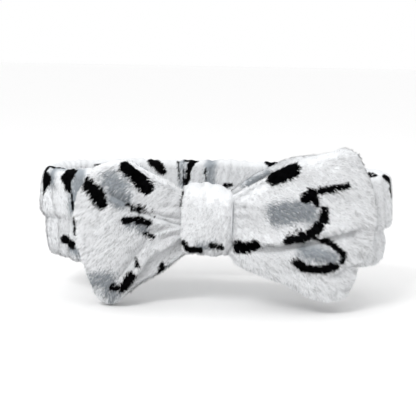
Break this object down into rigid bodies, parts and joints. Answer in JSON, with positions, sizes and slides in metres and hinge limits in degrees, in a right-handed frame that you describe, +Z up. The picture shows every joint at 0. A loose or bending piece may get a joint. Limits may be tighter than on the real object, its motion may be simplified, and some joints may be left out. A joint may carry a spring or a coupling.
{
  "type": "spa headband",
  "caption": "Elasticated plush headband with a large flat bow at the front, worn to keep hair off the face during washing or a treatment.",
  "frame": {"origin": "centre of the head opening, at half the band's height", "axes": "+X to the wearer's left, which is the viewer's right; +Y from the bow to the back of the head; +Z up"},
  "size_m": [0.24, 0.1154, 0.102],
  "materials": {
    "plush": "matte",
    "elastic": "matte",
    "thread": "satin"
  },
  "bodies": {
    "front": {"band_cover_front": "plush", "band_cover_left": "plush", "band_cover_right": "plush", "band_elastic_front": "elastic", "band_elastic_left": "elastic", "band_elastic_right": "elastic", "cover_seam_front": "thread", "cover_seam_left": "thread", "cover_seam_right": "thread", "knot_wrap": "plush", "knot_seam_stitches": "thread", "bow_waist": "plush", "bow_gather_thread": "thread", "bow_tack_stitches": "thread"},
    "band_back": {"band_cover_back": "plush", "band_elastic_back": "elastic", "cover_seam_back": "thread", "cover_join_stitches": "thread", "elastic_join_stitches": "thread"},
    "bow_left": {"bow_loop_left": "plush"},
    "bow_right": {"bow_loop_right": "plush"}
  },
  "joints": [
    {"name": "band_stretch", "type": "slide", "parent": "front", "child": "band_back", "axis": [0, 1, 0], "range_m": [0, 0.08], "stiffness_N_per_m": 110, "deforming": ["band_cover_left", "band_cover_right", "band_elastic_left", "band_elastic_right", "cover_seam_left", "cover_seam_right"]},
    {"name": "bow_left_flex", "type": "hinge", "parent": "front", "child": "bow_left", "pos_m": [-0.02, -0.05, 0], "axis": [0, 0, 1], "range_deg": [0, 30], "stiffness_Nm_per_rad": 0.02},
    {"name": "bow_right_flex", "type": "hinge", "parent": "front", "child": "bow_right", "pos_m": [0.02, -0.05, 0], "axis": [0, 0, -1], "range_deg": [0, 30], "stiffness_Nm_per_rad": 0.02}
  ]
}
